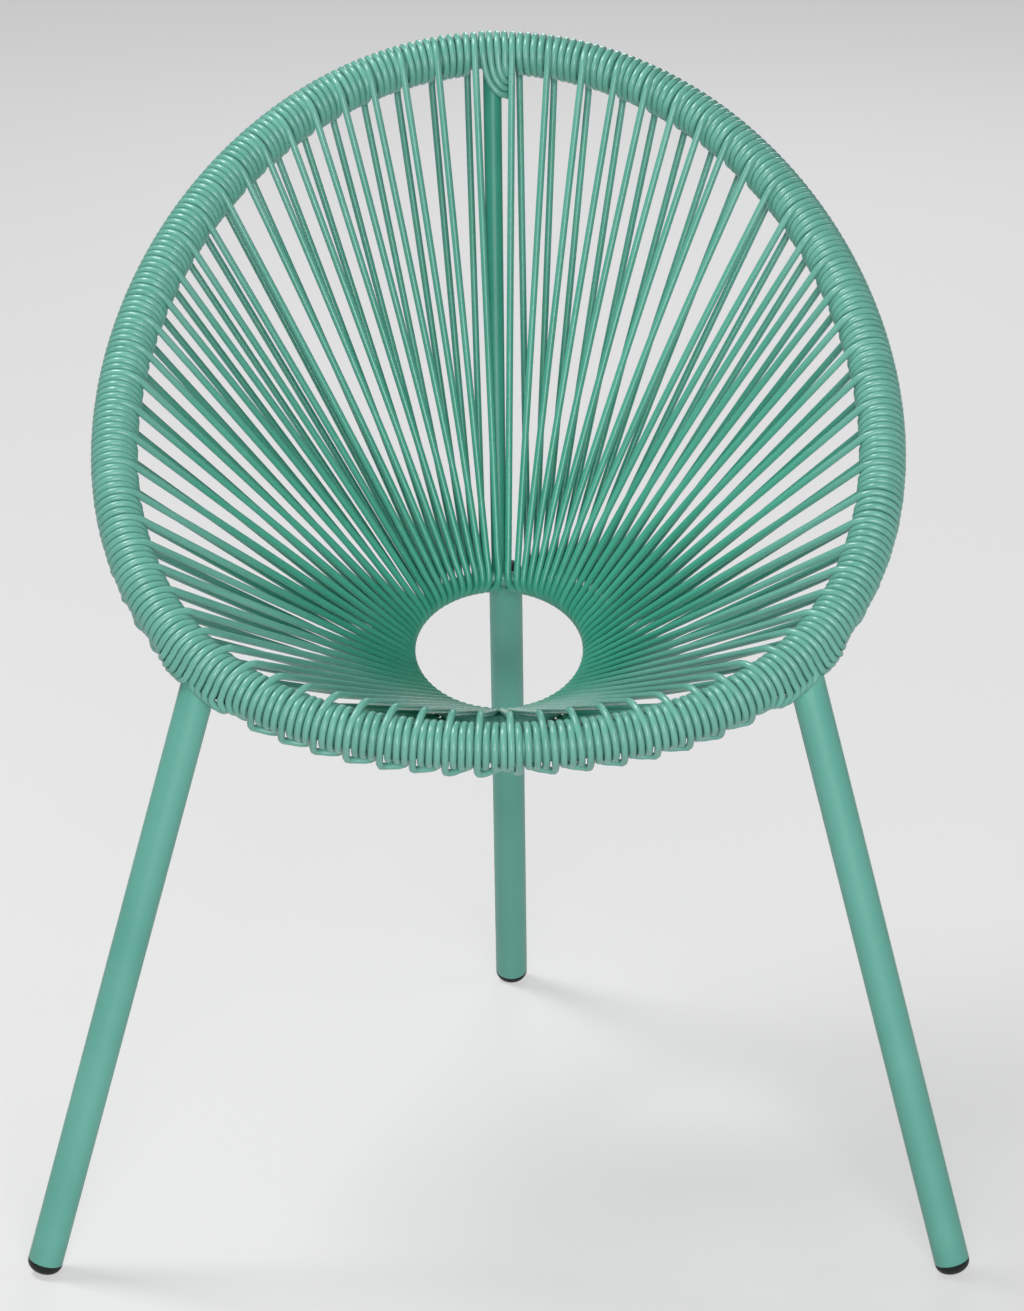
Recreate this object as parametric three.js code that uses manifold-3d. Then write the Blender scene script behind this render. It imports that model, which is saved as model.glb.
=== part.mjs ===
// Acapulco chair: two cords wound on a tilted hoop and stretched to a small hub ring, on three legs.
// Millimetres, +Z up. The sitter faces -Y, and +X is on the right in the front view.

import * as THREE from 'three';
import Module from 'manifold-3d';
import { mergeVertices } from 'three/addons/utils/BufferGeometryUtils.js';

const wasm = await Module();
wasm.setup();

// Stock
const cordDiameter = 5.5;
const rimTubeDiameter = 25;
const rimTubeWall = 2;
const barDiameter = 12;
const legTubeDiameter = 26.9;
const legTubeWall = 2;
// Space left between pieces that touch, or are welded, on the real chair
const fitGap = 0.3;

// Rim: a flat egg-shaped hoop, wide end to the front, tilted up to the back
const rimWidth = 586;
const rimLength = 653;
const rimFrontHeight = 441.6;
const rimTilt = THREE.MathUtils.degToRad(36.8);
const rimFrontReach = 271.4;
const crownShare = 0.085;
const frontShare = 0.162;
const ventDiameter = 6;

// Hub ring: the small hoop that the cords hook round, in the bottom of the bowl
const hubHoleDiameter = 133;
const hubTilt = THREE.MathUtils.degToRad(26.5);
const hubBehindCentre = 50.1;
const hubHeight = 395;

// Feet, where the leg axes meet the floor
const frontFootSpread = 701.5;
const frontFootReach = 257.9;
const rearFootReach = 279.1;
const rearFootDrift = 10;
const spineTopDrift = -5;
// Where the front legs meet the rim, as an angle of the outline from its top
const leftLegAngle = THREE.MathUtils.degToRad(123.8);
const rightLegAngle = THREE.MathUtils.degToRad(121.6);
const legCope = 7;
// How far the rear leg's end lies below the hub rod's centre, along the leg
const rearLegDrop = 4.5;

// Foot plugs and the rear leg's top plug
const plugStem = 18;
const plugDome = 7.5;
const plugFlat = 1.2;
const topPlugCrown = 1.5;
const topPlugStem = 14;

// Cords: strands from the rim to the hub, and the turns between them
const strandsPerSide = 37;
const backStrandsPerSide = 21;
const backStrandSpacing = 28.5;
const turnPitch = 5.7;
const hookSlack = 0.25;
const strandsPerSector = [5, 5, 5, 5, 5, 4, 4, 4];
// The cords are wound by hand. For some of the strands, counted from the top: how far they have
// drifted from even places, as a share of a strand's spacing, and how far on the strand below
// leaves the rim, as a share of a turn.
const leftDriftShares = [[0, 0.16], [2, 0.33], [6, 0.41], [14, 0.27], [22, 0], [34, 0], [37, -0.12]];
const rightDriftShares = [[0, -0.16], [4, 0], [11, 0.15], [24, 0.12], [28, 0], [34, 0], [37, 0.12]];
const leadShares = [[0, 1], [2, 0.5], [7, 0.6], [9, 2.3], [20, 2.3], [22, 1], [36, 1], [37, 0]];
// Rings of the rim sleeve from one strand to the next, as shares of the way and of a rib's depth:
// the turns there make two ribs at the back and one at the front
const backRingShares = [[0, 1], [0.35, 0], [0.57, 1], [0.78, 0]];
const frontRingShares = [[0, 1], [0.38, 0], [0.64, 0]];
const ribDepth = 2;
// Room in a sleeve for the flats of the hoop inside it
const facetEase = 0.5;

// Mesh fineness
const roundSides = 24;
const hoopSides = 12;
const rimSteps = 72;
const hubSteps = 48;
const wrapSides = 8;
const hookSides = 6;

// Sizes that follow
const cordRadius = cordDiameter / 2;
const rimTubeRadius = rimTubeDiameter / 2;
const barRadius = barDiameter / 2;
const legRadius = legTubeDiameter / 2;
const legBore = legRadius - legTubeWall;
const rimBoreRadius = rimTubeRadius + fitGap + facetEase;
const hubBoreRadius = barRadius + fitGap + facetEase;
const rimSleeveRadius = rimTubeRadius + fitGap + cordDiameter;
const hubSleeveRadius = barRadius + fitGap + cordDiameter;
const hubRadius = hubHoleDiameter / 2 + hubSleeveRadius;
const outlineSamples = 720;
// From a polygon's flats to its corners
const corner = (sides) => 1 / Math.cos(Math.PI / sides);

const upX = new THREE.Vector3(1, 0, 0);
const rimAlong = new THREE.Vector3(0, Math.cos(rimTilt), Math.sin(rimTilt));
const rimNormal = new THREE.Vector3(0, -Math.sin(rimTilt), Math.cos(rimTilt));
const rimFront = new THREE.Vector3(0, -rimFrontReach, rimFrontHeight);
const hubAlong = new THREE.Vector3(0, Math.cos(hubTilt), Math.sin(hubTilt));
const hubNormal = new THREE.Vector3(0, -Math.sin(hubTilt), Math.cos(hubTilt));
const hubCentre = new THREE.Vector3(0, hubBehindCentre, hubHeight);

function outlineSide(angle) {
  return Math.sin(angle) + crownShare * Math.sin(2 * angle);
}

function outlinePeak() {
  let peak = 0;
  for (let i = 0; i <= outlineSamples; i += 1) {
    peak = Math.max(peak, outlineSide((Math.PI * i) / outlineSamples));
  }
  return peak;
}

const sideScale = rimWidth / 2 / outlinePeak();

// The angle runs from the top of the hoop, clockwise in the front view
function rimPoint(angle) {
  const across = sideScale * outlineSide(angle);
  const along = rimLength * ((1 + Math.cos(angle)) / 2 - frontShare * Math.sin(angle) ** 2);
  return rimFront.clone().addScaledVector(upX, across).addScaledVector(rimAlong, along);
}

class RimCurve extends THREE.Curve {
  getPoint(share, target = new THREE.Vector3()) {
    return target.copy(rimPoint(2 * Math.PI * share));
  }
}

class HubCurve extends THREE.Curve {
  getPoint(share, target = new THREE.Vector3()) {
    const angle = 2 * Math.PI * share;
    return target.copy(hubCentre)
      .addScaledVector(upX, hubRadius * Math.sin(angle))
      .addScaledVector(hubAlong, hubRadius * Math.cos(angle));
  }
}

const rim = { curve: new RimCurve(), normal: rimNormal };
const hub = { curve: new HubCurve(), normal: hubNormal };
for (const hoop of [rim, hub]) {
  hoop.curve.arcLengthDivisions = outlineSamples;
  hoop.length = hoop.curve.getLength();
}

// Centre, and the directions towards the middle of the hoop and along it, at a distance from the top
function hoopFrame(hoop, distance) {
  const share = THREE.MathUtils.euclideanModulo(distance / hoop.length, 1);
  const centre = hoop.curve.getPointAt(share);
  const along = hoop.curve.getTangentAt(share);
  const inward = along.clone().cross(hoop.normal).normalize();
  return { centre, along, inward };
}

function toSolid(geometry) {
  const bare = geometry.clone();
  bare.deleteAttribute('normal');
  bare.deleteAttribute('uv');
  const merged = mergeVertices(bare);
  return new wasm.Manifold(new wasm.Mesh({
    numProp: 3,
    vertProperties: new Float32Array(merged.attributes.position.array),
    triVerts: new Uint32Array(merged.index.array),
  }));
}

function toGeometry(solid) {
  const mesh = solid.getMesh();
  const geometry = new THREE.BufferGeometry();
  geometry.setAttribute('position', new THREE.BufferAttribute(mesh.vertProperties, mesh.numProp));
  geometry.setIndex(new THREE.BufferAttribute(mesh.triVerts, 1));
  geometry.computeVertexNormals();
  return geometry;
}

function mirrored(geometry) {
  const copy = geometry.clone().scale(-1, 1, 1);
  const index = copy.index.array;
  for (let i = 0; i < index.length; i += 3) {
    [index[i], index[i + 1]] = [index[i + 1], index[i]];
  }
  return copy;
}

// A solid of revolution about the line from start to end. The profile's points are
// [radius, distance from start], and it runs round its section counter-clockwise.
function turned(start, end, profile, sides = roundSides) {
  const points = profile.map(([radius, height]) => new THREE.Vector2(radius, height));
  const geometry = new THREE.LatheGeometry(points, sides);
  const direction = end.clone().sub(start).normalize();
  const swing = new THREE.Quaternion().setFromUnitVectors(new THREE.Vector3(0, 1, 0), direction);
  return geometry.applyQuaternion(swing).translate(start.x, start.y, start.z);
}

function rod(start, end, radius, sides = roundSides) {
  const length = start.distanceTo(end);
  return turned(start, end, [[0, 0], [radius, 0], [radius, length], [0, length]], sides);
}

function pipe(start, end, outer, bore, sides = roundSides) {
  const length = start.distanceTo(end);
  return turned(start, end, [[bore, 0], [outer, 0], [outer, length], [bore, length], [bore, 0]], sides);
}

// Frame: rim tube, hub ring and spine
const sweep = (hoop, steps, radius, sides) => (
  toSolid(new THREE.TubeGeometry(hoop.curve, steps, radius, sides, true))
);
const rimSweep = (radius, sides) => sweep(rim, rimSteps, radius, sides);
const hubSweep = (radius, sides) => sweep(hub, hubSteps, radius, sides);

const leftLegTop = mirrorPoint(rimPoint(leftLegAngle));
const rightLegTop = rimPoint(rightLegAngle);
const leftFoot = new THREE.Vector3(-frontFootSpread / 2, -frontFootReach, 0);
const rightFoot = new THREE.Vector3(frontFootSpread / 2, -frontFootReach, 0);

function mirrorPoint(point) {
  return new THREE.Vector3(-point.x, point.y, point.z);
}

function pointAlong(start, end, distance) {
  return start.clone().addScaledVector(end.clone().sub(start).normalize(), distance);
}

// The rear leg leans so that the hub rod rests on its front lip
function rearLegTop() {
  const rodCentre = hub.curve.getPoint(0);
  const foot = new THREE.Vector3(0, rearFootReach, 0);
  const lipReach = legRadius + Math.sqrt((barRadius + fitGap) ** 2 - rearLegDrop ** 2);
  const reach = Math.hypot(rodCentre.y - foot.y, rodCentre.z);
  const lean = Math.atan2(foot.y - rodCentre.y, rodCentre.z) - Math.asin(lipReach / reach);
  const length = Math.sqrt(reach ** 2 - lipReach ** 2) - rearLegDrop;
  return new THREE.Vector3(rearFootDrift / 2, foot.y - length * Math.sin(lean), length * Math.cos(lean));
}

const rearTop = rearLegTop();
const rearFoot = new THREE.Vector3(rearFootDrift, rearFootReach, 0);
const spineTop = rim.curve.getPoint(0).setX(spineTopDrift);
const spineFoot = hub.curve.getPoint(0);

const ventSolids = [[leftLegTop, leftFoot], [rightLegTop, rightFoot]].map(([top, foot]) => (
  toSolid(rod(top, pointAlong(top, foot, rimTubeDiameter), ventDiameter / 2, hoopSides))
));

function rimTube() {
  let solid = rimSweep(rimTubeRadius, hoopSides)
    .subtract(rimSweep(rimTubeRadius - rimTubeWall, wrapSides));
  for (const vent of ventSolids) {
    solid = solid.subtract(vent);
  }
  return toGeometry(solid);
}

const rimClearance = rimSweep(rimTubeRadius + fitGap, hoopSides);
const hubClearance = hubSweep(barRadius + fitGap, hoopSides);

function spine() {
  return toGeometry(toSolid(rod(spineTop, spineFoot, barRadius, hoopSides))
    .subtract(rimClearance)
    .subtract(hubClearance));
}

// Legs: the tube ends at the plug's shoulder, and a front leg's top is coped to the rim tube
const plugShoulder = plugDome - plugFlat;

function frontLeg(top, foot) {
  const start = pointAlong(top, foot, legCope);
  const tube = pipe(start, pointAlong(foot, top, plugShoulder), legRadius, legBore);
  return toGeometry(toSolid(tube).subtract(rimClearance));
}

function rearLeg() {
  const tube = pipe(rearTop, pointAlong(rearFoot, rearTop, plugShoulder), legRadius, legBore);
  return toGeometry(toSolid(tube).subtract(hubClearance));
}

// A domed plug: its stem is in the tube, and the floor cuts a small flat on the dome
function footPlug(top, foot) {
  const shoulder = plugShoulder - fitGap;
  const start = pointAlong(foot, top, shoulder);
  const end = pointAlong(start, top, plugStem);
  const stemRadius = legBore - fitGap;
  const domeShares = [[0, 1], [0.45, 0.93], [0.78, 0.68], [0.95, 0.35], [1, 0]];
  const dome = domeShares.map(([out, down]) => [legRadius * out, -plugDome * down]);
  const profile = [...dome, [stemRadius, 0], [stemRadius, plugStem], [0, plugStem]];
  const floor = new THREE.BoxGeometry(legTubeDiameter * 2, legTubeDiameter * 2, plugStem)
    .translate(foot.x, foot.y, -plugStem / 2);
  return toGeometry(toSolid(turned(start, end, profile)).subtract(toSolid(floor)));
}

function topPlug() {
  const start = pointAlong(rearTop, rearFoot, topPlugStem);
  const stemRadius = legBore - fitGap;
  const seat = topPlugStem + fitGap;
  const profile = [[0, 0], [stemRadius, 0], [stemRadius, seat], [legBore, seat],
    [legBore - topPlugCrown, seat + topPlugCrown], [0, seat + topPlugCrown]];
  return toGeometry(toSolid(turned(start, rearTop, profile)).subtract(hubClearance));
}

// Cord stations. A strand's number plus a share gives a place on either hoop, as a distance from
// the hoop's top, on the side above the strands or below them.
const halfRim = rim.length / 2;
const halfHub = hub.length / 2;
const hubPitch = halfHub / strandsPerSide;
const backReach = backStrandSpacing * backStrandsPerSide;
const frontStrandSpacing = (halfRim - backReach) / (strandsPerSide - backStrandsPerSide);

function between(table, station) {
  const next = Math.max(1, table.findIndex(([place]) => place >= station));
  const [[from, start], [to, end]] = [table[next - 1], table[next]];
  return THREE.MathUtils.mapLinear(station, from, to, start, end);
}

function rimAbove(station, driftShares) {
  const back = Math.min(station, backStrandsPerSide);
  const spacing = station < backStrandsPerSide ? backStrandSpacing : frontStrandSpacing;
  return backStrandSpacing * back + frontStrandSpacing * (station - back)
    + spacing * between(driftShares, station);
}

function rimBelow(station, driftShares) {
  return rimAbove(station, driftShares) + turnPitch * between(leadShares, station);
}

function hubAbove(station) {
  return hubPitch * station;
}

// The lower strands hook beside the rear leg, so the first ones crowd together there
function hubBelow(station, hookStart) {
  const lead = (1 - station / strandsPerSide) / 2;
  return Math.max(hubPitch * (station + lead), hookStart + station * (cordDiameter + hookSlack));
}

// One sector of the cord web, as a closed mesh: a ribbed sleeve of rim turns, a sleeve of hooks
// round the hub ring, and square strands that leave both sleeves at a tangent, in two layers
function sectorMesh(first, last, hookStart, driftShares) {
  const positions = [];
  const index = [];
  const quad = (a, b, c, d) => index.push(a, b, c, a, c, d);
  const strandLine = (station) => {
    const rimCentre = hoopFrame(rim, rimAbove(station, driftShares)).centre;
    return hoopFrame(hub, hubAbove(station)).centre.sub(rimCentre).normalize();
  };
  // A ring's corners are set out from the strand's direction, so that one face takes each strand.
  // The side says whether its first corner is above the strand, on the rim, or below, on the hub.
  const addRing = (hoop, radius, sides, heading, places, side) => {
    const start = positions.length / 3;
    const { inward } = hoopFrame(hoop, places.above);
    const roll = Math.atan2(heading.dot(hoop.normal), heading.dot(inward));
    for (let j = 0; j < sides; j += 1) {
      const turn = Math.PI / 2 + (2 * Math.PI * j) / sides;
      const aboveShare = (1 + side * Math.sin(turn)) / 2;
      const distance = THREE.MathUtils.lerp(places.below, places.above, aboveShare);
      const frame = hoopFrame(hoop, distance);
      frame.centre.addScaledVector(frame.inward, radius * Math.cos(roll + turn))
        .addScaledVector(hoop.normal, radius * Math.sin(roll + turn));
      positions.push(frame.centre.x, frame.centre.y, frame.centre.z);
    }
    return start;
  };
  const squeeze = (places, station) => {
    const by = station === first ? fitGap / 2 : station === last ? -fitGap / 2 : 0;
    return { above: places.above + by, below: places.below + by };
  };
  const rimRing = (station, radius) => {
    const above = rimAbove(station, driftShares);
    const places = squeeze({ above, below: rimBelow(station, driftShares) }, station);
    return addRing(rim, radius, wrapSides, strandLine(station), places, 1);
  };
  const hubRing = (station, radius) => {
    const places = squeeze({ above: hubAbove(station), below: hubBelow(station, hookStart) }, station);
    return addRing(hub, radius, hookSides, strandLine(station).negate(), places, -1);
  };

  // A shell of rings, left open where a strand is joined on
  const shell = (rings, sides, outward, opened) => {
    for (let i = 1; i < rings.length; i += 1) {
      for (let j = 0; j < sides; j += 1) {
        const next = (j + 1) % sides;
        if (!opened(i - 1, j)) {
          const cell = [rings[i - 1] + j, rings[i] + j, rings[i] + next, rings[i - 1] + next];
          quad(...(outward ? cell : cell.reverse()));
        }
      }
    }
  };
  // Facing caps of two sectors are split along the same diagonals, so they stay apart
  const cap = (outer, bore, sides, atStart) => {
    for (let j = 0; j < sides; j += 1) {
      const next = (j + 1) % sides;
      const [a, b, c, d] = [outer + j, outer + next, bore + next, bore + j];
      quad(...(atStart ? [a, b, c, d] : [c, b, a, d]));
    }
  };

  const rimCrest = rimSleeveRadius * corner(wrapSides);
  const stations = Array.from({ length: last - first + 1 }, (unused, i) => first + i);
  const rimOuter = [];
  const strandRings = [];
  for (const station of stations.slice(0, -1)) {
    const ringShares = station < backStrandsPerSide ? backRingShares : frontRingShares;
    // A strand starts at the first crest
    strandRings.push(rimOuter.length + ringShares.findIndex(([, depthShare]) => depthShare === 0));
    for (const [placeShare, depthShare] of ringShares) {
      rimOuter.push(rimRing(station + placeShare, rimCrest - ribDepth * depthShare));
    }
  }
  rimOuter.push(rimRing(last, rimCrest - ribDepth));
  const rimBore = stations.map((station) => rimRing(station, rimBoreRadius * corner(wrapSides)));
  const hubOuter = stations.map((station) => hubRing(station, hubSleeveRadius * corner(hookSides)));
  const hubBore = [first, (first + last) / 2, last]
    .map((station) => hubRing(station, hubBoreRadius * corner(hookSides)));

  const rimFaces = [wrapSides - 1, wrapSides / 2];
  const hubFaces = [hookSides / 2, hookSides - 1];
  shell(rimOuter, wrapSides, true, (i, j) => strandRings.includes(i) && rimFaces.includes(j));
  shell(rimBore, wrapSides, false, () => false);
  shell(hubOuter, hookSides, true, (i, j) => hubFaces.includes(j));
  shell(hubBore, hookSides, false, () => false);
  cap(rimOuter[0], rimBore[0], wrapSides, true);
  cap(rimOuter.at(-1), rimBore.at(-1), wrapSides, false);
  cap(hubOuter[0], hubBore[0], hookSides, true);
  cap(hubOuter.at(-1), hubBore.at(-1), hookSides, false);

  strandRings.forEach((ring, k) => {
    const near = rimOuter[ring];
    const far = rimOuter[ring + 1];
    rimFaces.forEach((face, layer) => {
      const next = (face + 1) % wrapSides;
      const hubFace = hubFaces[layer];
      const hubNext = (hubFace + 1) % hookSides;
      const rimLoop = [near + face, far + face, far + next, near + next];
      const hubLoop = [hubOuter[k] + hubNext, hubOuter[k + 1] + hubNext, hubOuter[k + 1] + hubFace,
        hubOuter[k] + hubFace];
      rimLoop.forEach((vertex, i) => {
        const following = (i + 1) % rimLoop.length;
        quad(vertex, rimLoop[following], hubLoop[following], hubLoop[i]);
      });
    });
  });
  const geometry = new THREE.BufferGeometry();
  geometry.setAttribute('position', new THREE.Float32BufferAttribute(positions, 3));
  geometry.setIndex(index);
  return geometry;
}

// The turns part round the legs and the spine
const topPlugReach = topPlugCrown + 2 * fitGap;
const frameCutters = [
  [leftLegTop, leftFoot, legRadius],
  [rightLegTop, rightFoot, legRadius],
  [pointAlong(rearTop, rearFoot, -topPlugReach), rearFoot, legRadius],
  [spineTop, spineFoot, barRadius],
].map(([start, end, radius]) => (
  toSolid(rod(start, end, (radius + fitGap) * corner(hoopSides), hoopSides))
));

function cordSector(side, first, last) {
  const hookStart = legRadius + fitGap + side * rearTop.x;
  const driftShares = side > 0 ? rightDriftShares : leftDriftShares;
  const geometry = sectorMesh(first, last, hookStart, driftShares);
  let solid = toSolid(side > 0 ? geometry : mirrored(geometry));
  for (const cutter of frameCutters) {
    solid = solid.subtract(cutter);
  }
  return toGeometry(solid);
}

const sectorEdges = strandsPerSector.reduce((edges, count) => [...edges, edges.at(-1) + count], [0]);

// Materials
const material = (color, roughness, metalness) => (
  new THREE.MeshStandardMaterial({ color, roughness, metalness })
);
const coatedSteel = () => material(0x63a595, 0.42, 0.1);
const glossyCord = () => material(0x74bfa9, 0.3, 0);
const blackPlastic = () => material(0x17191a, 0.6, 0);

const chair = new THREE.Group();

function addPiece(name, geometry, surface) {
  const mesh = new THREE.Mesh(geometry, surface);
  mesh.name = name;
  chair.add(mesh);
}

addPiece('seat_rim_tube', rimTube(), coatedSteel());
addPiece('hub_ring', toGeometry(hubSweep(barRadius, hoopSides)), coatedSteel());
addPiece('back_spine_bar', spine(), coatedSteel());
addPiece('front_leg_left', frontLeg(leftLegTop, leftFoot), coatedSteel());
addPiece('front_leg_right', frontLeg(rightLegTop, rightFoot), coatedSteel());
addPiece('rear_leg', rearLeg(), coatedSteel());
addPiece('foot_plug_left', footPlug(leftLegTop, leftFoot), blackPlastic());
addPiece('foot_plug_right', footPlug(rightLegTop, rightFoot), blackPlastic());
addPiece('foot_plug_rear', footPlug(rearTop, rearFoot), blackPlastic());
addPiece('rear_leg_top_plug', topPlug(), blackPlastic());

for (const [sideName, side] of [['left', -1], ['right', 1]]) {
  strandsPerSector.forEach((count, i) => {
    const geometry = cordSector(side, sectorEdges[i], sectorEdges[i + 1]);
    addPiece(`seat_cord_${sideName}_${i + 1}`, geometry, glossyCord());
  });
}

export default chair;
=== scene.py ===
import math

import bpy
import numpy as np
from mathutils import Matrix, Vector


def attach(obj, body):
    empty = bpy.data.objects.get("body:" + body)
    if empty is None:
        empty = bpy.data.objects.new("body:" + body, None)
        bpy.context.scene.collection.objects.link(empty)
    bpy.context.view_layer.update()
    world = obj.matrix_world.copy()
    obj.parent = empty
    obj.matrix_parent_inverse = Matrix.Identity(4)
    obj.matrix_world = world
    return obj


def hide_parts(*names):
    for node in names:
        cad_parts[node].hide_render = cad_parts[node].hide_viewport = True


# Acapulco chair, dressed: two glossy plastic cords wound on a coated steel frame, black plastic plugs.
# Metres, +Z up, the sitter faces -Y. A side is -1 on the left and 1 on the right, seen from the front.

SEED = 7
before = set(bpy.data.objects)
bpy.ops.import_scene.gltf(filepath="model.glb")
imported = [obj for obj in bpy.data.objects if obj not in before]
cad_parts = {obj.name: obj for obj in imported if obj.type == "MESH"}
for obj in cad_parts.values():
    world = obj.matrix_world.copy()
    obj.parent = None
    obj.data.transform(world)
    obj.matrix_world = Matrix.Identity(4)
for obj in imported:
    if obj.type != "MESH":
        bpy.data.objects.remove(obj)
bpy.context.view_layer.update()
rng = np.random.default_rng(SEED)

# Camera, at the photograph's angle
IMAGE_WIDTH = 1024
FOCAL_PIXELS = 4703.8
SENSOR_WIDTH = 36
CLIP_END = 60
CAMERA_RISE = math.radians(21)
CAMERA_DISTANCE = 3.6896
AIM = np.array([0.0103, -0.0204, 0.4166])

camera_data = bpy.data.cameras.new("camera")
camera = bpy.data.objects.new("camera", camera_data)
bpy.context.scene.collection.objects.link(camera)
bpy.context.scene.camera = camera
view_direction = np.array([0, math.cos(CAMERA_RISE), -math.sin(CAMERA_RISE)])
camera.location = AIM - CAMERA_DISTANCE * view_direction
camera.rotation_euler = (math.pi / 2 - CAMERA_RISE, 0, 0)
camera_data.sensor_fit = "HORIZONTAL"
camera_data.sensor_width = SENSOR_WIDTH
camera_data.lens = SENSOR_WIDTH * FOCAL_PIXELS / IMAGE_WIDTH
camera_data.clip_end = CLIP_END

# Sizes of the frame, as in the part
CORD = 0.0055
# The radii of the rim tube, the spine and hub bar, and the legs with their bore
RIM_TUBE = 0.0125
BAR = 0.006
LEG = 0.01345
LEG_BORE = 0.01145
# The gap between pieces of the frame, and between a cord and what it lies on
CLEARANCE = 0.0003
TOUCH = 0.0001
TILT = math.radians(36.8)
RIM_WIDTH = 0.586
RIM_LENGTH = 0.653
RIM_FRONT = np.array([0, -0.2714, 0.4416])
# The egg shape: how much wider it is above its middle, and how far its sides are drawn to the front
CROWN_SHARE = 0.085
FRONT_SHARE = 0.162
OUTLINE_STEPS = 2880
HUB_TILT = math.radians(26.5)
HUB_CENTRE = np.array([0, 0.0501, 0.395])
HUB_HOLE = 0.0665
HUB_RADIUS = HUB_HOLE + BAR + CLEARANCE + CORD
# Where the front legs stand round the rim, in degrees from its top, and where the three feet stand
LEG_ANGLE = {1: 121.6, -1: 123.8}
FRONT_FOOT_OUT = 0.35075
FRONT_FOOT_Y = -0.2579
REAR_FOOT_Y = 0.2791
# How far the rear tube's ends lie to the right, and how far its top ends below the hub bar's middle
REAR_TOP_X = 0.005
REAR_FOOT_X = 0.010
REAR_TOP_BELOW = 0.0045
SPINE_TOP_X = -0.005

# Sizes of the winding
# How far the first layer's middle lies from the middle of the rim tube and of the hub bar
WRAP = RIM_TUBE + CORD / 2 + TOUCH
HOOK = BAR + CORD / 2 + TOUCH
# The way from one turn to the next, the way between strands in the back, and how many have it
TURN = 0.0057
BACK_SPACING = 0.0285
BACK_STRANDS = 21
STRANDS = 37
# How far hand winding has shifted the strands from even places, as a share of their spacing, and by how
# many turns each lower strand leads the one above it, at some of the stations from the top
DRIFT_SHARES = {-1: [[0, 0.16], [2, 0.33], [6, 0.41], [14, 0.27], [22, 0], [34, 0], [37, -0.12]],
                1: [[0, -0.16], [4, 0], [11, 0.15], [24, 0.12], [28, 0], [34, 0], [37, 0.12]]}
LEAD = [[0, 1], [2, 0.5], [7, 0.6], [9, 2.3], [20, 2.3], [22, 1], [36, 1], [37, 0]]
# How far along the hub ring the hooks lie from even places, at some of the strands
HUB_DRIFT = {-1: [[0, -0.0027], [1, -0.0009], [3, -0.0030], [6, -0.0030], [12, -0.0020], [30, -0.0020],
                  [36, 0]],
             1: [[0, 0.0045], [1, 0.0056], [9, 0], [36, 0]]}


# Lines and hoops
def unit(vector):
    return vector / np.linalg.norm(vector)


def distances_along(points):
    """How far each point lies along the line through them all."""
    return np.concatenate([[0], np.cumsum(np.linalg.norm(np.diff(points, axis=0), axis=1))])


def distance_to(points, line):
    """How far each point lies from the nearest point of a line."""
    return np.sqrt(((points[:, None] - line[None]) ** 2).sum(-1)).min(1)


def smooth_step(share):
    share = np.clip(share, 0, 1)
    return share * share * (3 - 2 * share)


def table_value(table, station):
    stations, values = zip(*table)
    return float(np.interp(station, stations, values))


class Hoop:
    """A closed flat curve, measured from its top: frames at distances along it."""

    NEAR = 1e-3

    def __init__(self, points, normal):
        self.points = np.vstack([points, points[:1]])
        self.places = distances_along(self.points)
        self.length = self.places[-1]
        self.normal = normal

    def centre(self, distance):
        place = np.mod(distance, self.length)
        return np.stack([np.interp(place, self.places, self.points[:, i]) for i in range(3)], -1)

    def along(self, distance):
        distance = np.asarray(distance)
        step = self.centre(distance + self.NEAR) - self.centre(distance - self.NEAR)
        return step / np.linalg.norm(step, axis=-1, keepdims=True)

    def inward(self, distance):
        inward = np.cross(self.along(distance), self.normal)
        return inward / np.linalg.norm(inward, axis=-1, keepdims=True)

    def on(self, distance, angle, radius):
        """A point of the section at a distance: angle 0 faces the middle, 90 degrees the normal."""
        distance, angle, radius = np.broadcast_arrays(distance, angle, radius)
        across = np.cos(angle)[..., None] * self.inward(distance) + np.sin(angle)[..., None] * self.normal
        return self.centre(distance) + radius[..., None] * across

    def roll(self, distance, heading):
        """The angle of the section that a heading points to."""
        return math.atan2(heading @ self.normal, heading @ self.inward(distance))


def along_tilt(tilt):
    """The way up a tilted plane and the way square to it."""
    return np.array([0, math.cos(tilt), math.sin(tilt)]), np.array([0, -math.sin(tilt), math.cos(tilt)])


outline_angles = np.linspace(0, 2 * math.pi, OUTLINE_STEPS, endpoint=False)
rim_along, rim_normal = along_tilt(TILT)
egg_across = np.sin(outline_angles) + CROWN_SHARE * np.sin(2 * outline_angles)
egg_reach = (1 + np.cos(outline_angles)) / 2 - FRONT_SHARE * np.sin(outline_angles) ** 2
rim_points = RIM_FRONT + np.outer(egg_across / egg_across.max() * RIM_WIDTH / 2, [1, 0, 0])
rim = Hoop(rim_points + np.outer(egg_reach * RIM_LENGTH, rim_along), rim_normal)
hub_along, hub_normal = along_tilt(HUB_TILT)
hub_circle = np.outer(np.sin(outline_angles), [1, 0, 0]) + np.outer(np.cos(outline_angles), hub_along)
hub = Hoop(HUB_CENTRE + HUB_RADIUS * hub_circle, hub_normal)
HALF_RIM = rim.length / 2
HALF_HUB = hub.length / 2
HUB_PITCH = HALF_HUB / STRANDS
FRONT_SPACING = (HALF_RIM - BACK_SPACING * BACK_STRANDS) / (STRANDS - BACK_STRANDS)


def rim_at_angle(angle):
    """Distance from the top to the outline's point at an angle."""
    return float(np.interp(angle, np.append(outline_angles, 2 * math.pi), rim.places))


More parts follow.
